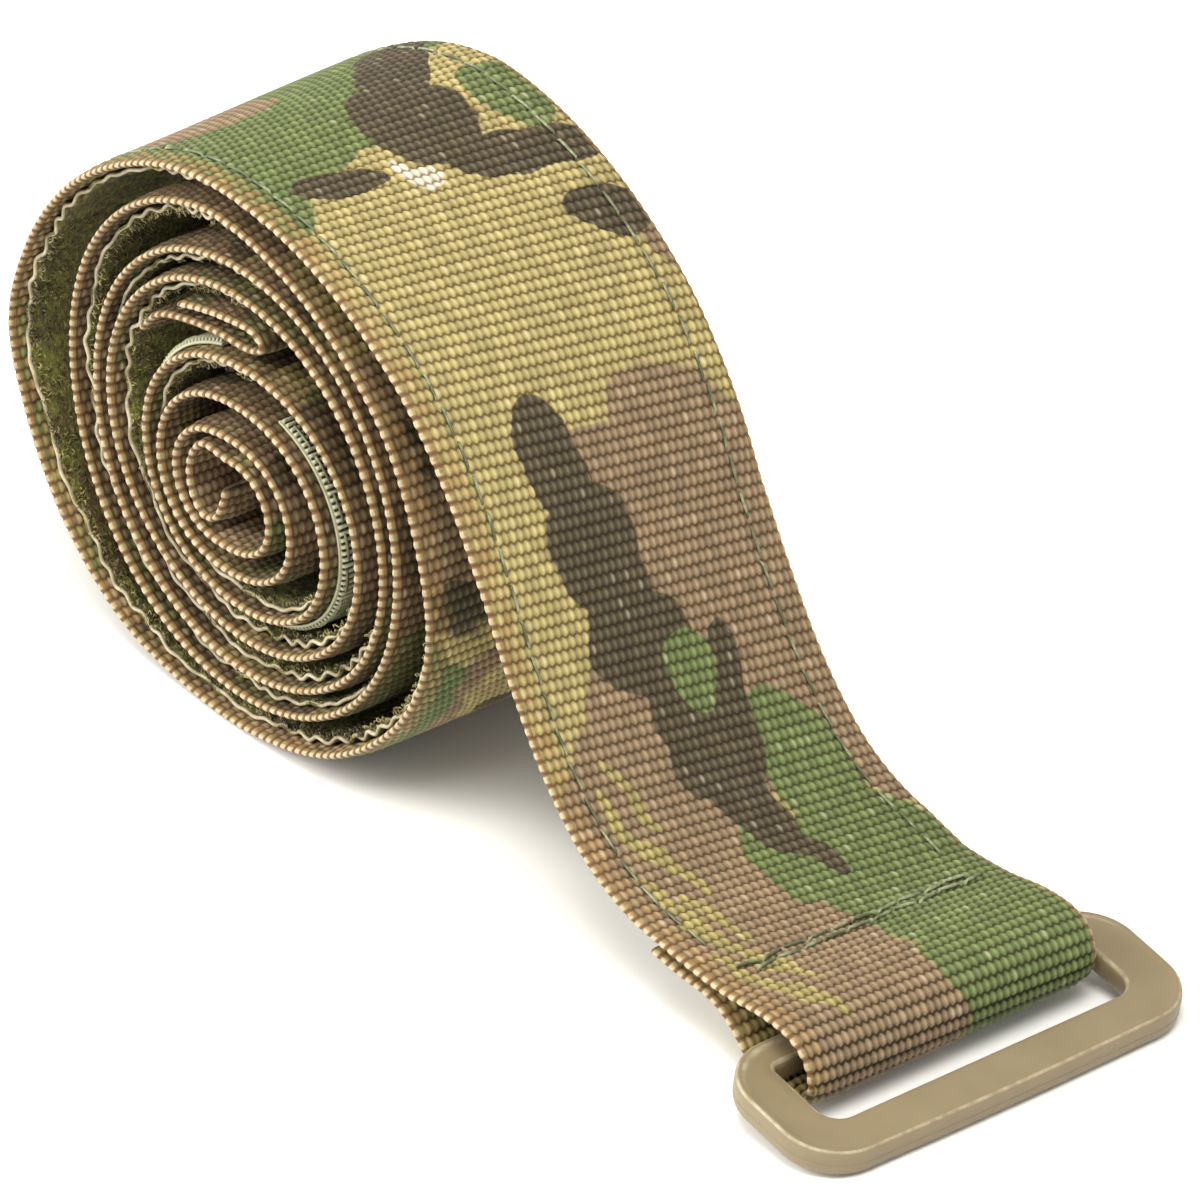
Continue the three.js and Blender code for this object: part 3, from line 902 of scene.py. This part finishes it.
def ring_piece(material):
    """The moulded ring: a crowned top with a soft ridge, rounded walls and a parting line."""
    half = RING_THICK / 2

    def outer(inset):
        return rounded_loop(
            RING_BACK, RING_FRONT, RING_WIDTH / 2, RING_CORNER, RING_CORNER, -inset
        )

    def inner(outset):
        return rounded_loop(
            RING_BACK + BACK_BAR, RING_FRONT - FRONT_BAR, SLOT_HALF,
            SLOT_BACK_CORNER, SLOT_CORNER, outset,
        )

    profile = [  # (loop, distance in from its wall, height)
        (outer, 0.0, 0.12), (outer, 0.0, 0.6), (outer, 0.02, half - 0.42), (outer, 0.08, half - 0.22),
        (outer, 0.2, half - 0.08), (outer, 0.36, half), (outer, 0.55, half),
        (outer, 0.85, half - 0.08), (outer, 1.3, half - 0.16), (inner, 1.6, half - 0.2),
        (inner, 0.7, half - 0.2), (inner, 0.3, half - 0.28), (inner, 0.08, half - 0.48),
        (inner, 0.0, 0.6), (inner, 0.0, -0.6), (inner, 0.1, -half + 0.7), (inner, 0.4, -half + 0.25),
        (inner, 0.9, -half + 0.02), (outer, 1.3, -half), (outer, 0.8, -half + 0.06),
        (outer, 0.4, -half + 0.24), (outer, 0.12, -half + 0.6), (outer, 0.0, -0.6), (outer, 0.0, -0.12),
        (outer, 0.07, 0.0),
    ]
    columns = []
    for loop, inset, height in profile:
        xy = loop(inset)
        bow = 0.4 * np.clip(1 - (xy[:, 1] / 17.0) ** 2, 0, 1) * (xy[:, 0] > RING_FRONT - 4.0)
        if loop is outer and inset < 2.0:
            xy = xy + np.stack([bow * smoothstep(14.0, 17.0, xy[:, 0]) * 0.5, 0 * bow], -1)
        columns.append(np.column_stack([xy, np.full(len(xy), height)]))
    grid = np.stack(columns, 1)
    tilt = math.radians(RING_TILT)
    x = RING_X + grid[..., 0] * math.cos(tilt) + grid[..., 2] * math.sin(tilt)
    z = RING_Z - grid[..., 0] * math.sin(tilt) + grid[..., 2] * math.cos(tilt)
    points = np.stack([x, grid[..., 1], z], -1) * MM
    rows, cols = grid.shape[:2]
    closed = np.concatenate([points, points[:1]])
    faces = [
        [(v % (rows * cols)) for v in f] for f in tube_faces(rows + 1, cols, caps=False)
    ]
    return make_object("ring_moulded", closed[:rows], faces, material)


# ------------------------------------------------------------------ making


def join_body(piece, spot, body, nodes):
    """Rides a body, or, at one of the strap's joints, only has its placement baked into its mesh; then
    hides the CAD parts that it stands for.
    """
    if spot is None:
        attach(piece, body)
    else:
        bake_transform(piece)
    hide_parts(*nodes)
    return piece


ROLL_BEND = (ROLL_JOINT, ROLL_JOINT_WAY)
END_BEND = (END_JOINT, END_JOINT_WAY)


def make_webbing(material):
    """The strap in five stretches and the pull tab, each finer across where it is seen."""
    face = HALF_WIDTH - EDGE_ROUND
    fine = np.concatenate([[-face], np.arange(-18, 18.01, YARN / 4), [face]])
    coarse = edge_columns(14.5, YARN / 4, 12)
    back = edge_columns(16.5, 0.5, 8)
    cuts = [snap(v) for v in (0.7, COIL_SPLIT, OUTER_START, TOP_START, END_START)]
    end = snap(STRAP.length - 1.2)
    parts = [
        ("webbing_inner_turns", cuts[0], cuts[1], coarse, None, "roll", ["webbing_roll"]),
        ("webbing_middle_turns", cuts[1], cuts[2], coarse, None, "roll", ["webbing_roll"]),
        ("webbing_outer_turn", cuts[2], cuts[3], fine, None, "roll", ["webbing_roll"]),
        ("webbing_top", cuts[3], cuts[4], fine, ROLL_BEND, ("roll", "lead"), ["webbing_lead"]),
        ("webbing_ring_end", cuts[4], end, fine, END_BEND, ("lead", "end"), ["webbing_end_loop"]),
    ]
    for name, start, stop, across, spot, body, nodes in parts:
        piece = webbing(name, STRAP, start, stop, across, back, material)
        join_body(piece, spot, body, nodes)
    ends = snap(0.4), snap(TAB.length - 0.9)
    tab = webbing("pull_tab_webbing", TAB, *ends, fine, back, material, TAB_PRINT_SHIFT)
    join_body(tab, None, "roll", ["pull_tab"])


def make_pile(material):
    parts = [
        ("pile_inner_turns", PILE_START, COIL_SPLIT, None, "roll", ["pile_tape_roll"]),
        ("pile_middle_turns", COIL_SPLIT, OUTER_START, None, "roll", ["pile_tape_roll"]),
        ("pile_outer_turn", OUTER_START, TOP_START, None, "roll", ["pile_tape_roll"]),
        ("pile_top", TOP_START, END_START, ROLL_BEND, ("roll", "lead"), ["pile_tape_lead"]),
        ("pile_ring_end", END_START, PILE_END, END_BEND, ("lead", "end"), ["pile_tape_end"]),
    ]
    for seed, (name, start, stop, spot, body, nodes) in enumerate(parts):
        piece = pile(name, start, stop + 0.3, material, 44, seed)
        join_body(piece, spot, body, nodes)


def make_loose_loops(material):
    parts = [  # place, where it starts and ends, how many loops, seed
        ("inner", PILE_START, COIL_SPLIT, 3000, 20),
        ("middle", COIL_SPLIT, OUTER_START, 5500, 21),
        ("outer", OUTER_START, TOP_START, 3000, 22),
    ]
    for name, start, stop, count, seed in parts:
        loops = loose_loops(f"loose_loops_{name}", start, stop, count, material, seed)
        join_body(loops, None, "roll", ["pile_tape_roll"])


def make_selvages(material):
    parts = [
        ("roll", PILE_START, TOP_START, None, "roll"),
        ("lead", TOP_START, END_START, ROLL_BEND, ("roll", "lead")),
        ("end", END_START, PILE_END, END_BEND, ("lead", "end")),
    ]
    for side, sign in (("near", -1.0), ("far", 1.0)):
        for place, start, stop, spot, body in parts:
            cord = selvage(f"selvage_{side}_{place}", start, stop + 0.3, sign, material)
            join_body(cord, spot, body, [f"pile_tape_{place}"])


def next_stitch(distance):
    """Where the first stitch of an edge row starts that isn't before this distance."""
    count = math.ceil((distance - EDGE_STITCH_START) / STITCH_PITCH)
    return EDGE_STITCH_START + count * STITCH_PITCH


def make_threads(material):
    for side, y in (("near", -STITCH_Y), ("far", STITCH_Y)):
        parts = [
            ("roll", EDGE_STITCH_START, TOP_START, None, "roll"),
            ("lead", TOP_START, END_START, ROLL_BEND, ("roll", "lead")),
            ("end", END_START, EDGE_STITCH_END, END_BEND, ("lead", "end")),
        ]
        for place, start, stop, spot, body in parts:
            first, last = next_stitch(start), next_stitch(stop)
            piece = edge_stitches(f"seam_{side}_{place}", y, first, last + 0.1, material)
            join_body(piece, spot, body, [f"edge_stitch_{side}_{place}"])


def make_hook(tape_material, thread):
    tape = hook_tape(tape_material)
    join_body(tape, None, "roll", ["hook_tape"])
    for side, y in (("near", -HOOK_SEAM_Y), ("far", HOOK_SEAM_Y)):
        start, stop = HOOK_START + 1, HOOK_END - 1
        piece = edge_stitches(f"hook_seam_{side}", y, start, stop, thread, HOOK_BASE + 0.7)
        join_body(piece, None, "roll", [f"hook_stitch_{side}"])


def make_cross_rows(material):
    """Two rows of stitches across the strap, close together, crossing here and there."""
    for name, at, phase in CROSS_ROWS:
        lines = []
        y = -STITCH_Y - 0.1 + phase
        while y < 14.2:
            lean = 0.32 * math.sin(y * 0.9 + phase)
            lines.append(stitch_line(STRAP, at + lean, at - lean * 0.6, y, y + 3.0, CROSS_HIGH))
            y += CROSS_PITCH
        points, faces = tube_along(lines, THREAD_RADIUS * 1.25)
        piece = make_object(f"cross_seam_{name}", points, faces, material)
        join_body(piece, None, "end", [f"cross_stitch_{name}"])


# ------------------------------------------------------------------ camera, light and floor

CAMERA_AZIMUTH = 51.89  # degrees
CAMERA_ELEVATION = 31.04
CAMERA_DISTANCE = 1.0124  # metres
CAMERA_TARGET = (6.24, 0, 27.76)
CAMERA_LENS = 290.52
CAMERA_SENSOR = 36
LAMPS = [  # name, place and size in metres, power in watts
    ("key", (0.35, -0.25, 0.9), 0.5, 9.0),
    ("side", (-0.5, -0.7, 0.45), 0.6, 11.0),
    ("front", (0.8, -0.3, 0.35), 0.5, 0.8),
]
LAMP_TARGET = (0, 0, 0.03)
LAMP_COLOUR = (1.0, 0.975, 0.93)
SKY_COLOUR = (1.0, 0.98, 0.94, 1.0)
SKY_STRENGTH = 0.7
FLOOR_REACH = 3.0  # metres


def make_camera():
    azimuth, elevation = math.radians(CAMERA_AZIMUTH), math.radians(CAMERA_ELEVATION)
    target = Vector(CAMERA_TARGET) * MM
    back = Vector((
        math.sin(azimuth) * math.cos(elevation),
        -math.cos(azimuth) * math.cos(elevation),
        math.sin(elevation),
    ))
    camera = bpy.data.objects.new("camera", bpy.data.cameras.new("camera"))
    camera.data.lens = CAMERA_LENS
    camera.data.sensor_width = CAMERA_SENSOR
    camera.data.clip_start = 0.01
    camera.location = target + back * CAMERA_DISTANCE
    camera.rotation_mode = "QUATERNION"
    camera.rotation_quaternion = (-back).to_track_quat("-Z", "Y")
    bpy.context.scene.collection.objects.link(camera)
    bpy.context.scene.camera = camera


def make_lamp(name, place, size, power):
    lamp = bpy.data.lights.new(name, "AREA")
    lamp.energy = power
    lamp.size = size
    lamp.color = LAMP_COLOUR
    light = bpy.data.objects.new(name, lamp)
    light.location = place
    way = Vector(LAMP_TARGET) - Vector(place)
    light.rotation_mode = "QUATERNION"
    light.rotation_quaternion = way.to_track_quat("-Z", "Y")
    bpy.context.scene.collection.objects.link(light)


def make_stage():
    mesh = bpy.data.meshes.new("floor")
    far = FLOOR_REACH
    corners = [(-far, -far, 0), (far, -far, 0), (far, far, 0), (-far, far, 0)]
    mesh.from_pydata(corners, [], [(0, 1, 2, 3)])
    floor = bpy.data.objects.new("floor", mesh)
    bpy.context.scene.collection.objects.link(floor)
    n = Nodes("pale_floor")
    mesh.materials.append(n.finish((0.9, 0.9, 0.89), 0.8, specular=0.1))
    world = bpy.data.worlds.new("studio")
    world.use_nodes = True
    sky = world.node_tree.nodes["Background"]
    sky.inputs["Color"].default_value = SKY_COLOUR
    sky.inputs["Strength"].default_value = SKY_STRENGTH
    bpy.context.scene.world = world
    bpy.context.scene.view_settings.view_transform = "Standard"
    for lamp in LAMPS:
        make_lamp(*lamp)


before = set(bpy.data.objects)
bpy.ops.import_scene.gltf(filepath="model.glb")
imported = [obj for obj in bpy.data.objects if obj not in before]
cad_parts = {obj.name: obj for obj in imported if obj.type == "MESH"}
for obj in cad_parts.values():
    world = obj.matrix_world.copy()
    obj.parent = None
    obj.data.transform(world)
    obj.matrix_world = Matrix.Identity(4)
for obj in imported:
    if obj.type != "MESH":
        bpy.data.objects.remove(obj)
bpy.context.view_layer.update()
make_camera()
PUCKER_S = np.arange(0, STRAP.length, 1.0)
PUCKER_ROOM = gap_inside(STRAP, PUCKER_S)
print_webbing = webbing_material()
seam_thread = thread_material("seam_thread", dye(176, 182, 142), dye(92, 100, 64))
make_webbing(print_webbing)
make_pile(pile_material())
make_selvages(thread_material("selvage_yarn", dye(224, 214, 182), dye(176, 162, 126)))
make_loose_loops(thread_material("loose_loops", dye(190, 180, 106), dye(96, 82, 46)))
make_threads(seam_thread)
make_hook(hook_material(), thread_material("hook_thread", srgb(150, 146, 116), srgb(92, 88, 64)))
make_cross_rows(seam_thread)
ring = ring_piece(ring_material())
join_body(ring, None, "ring", ["ring"])
make_stage()
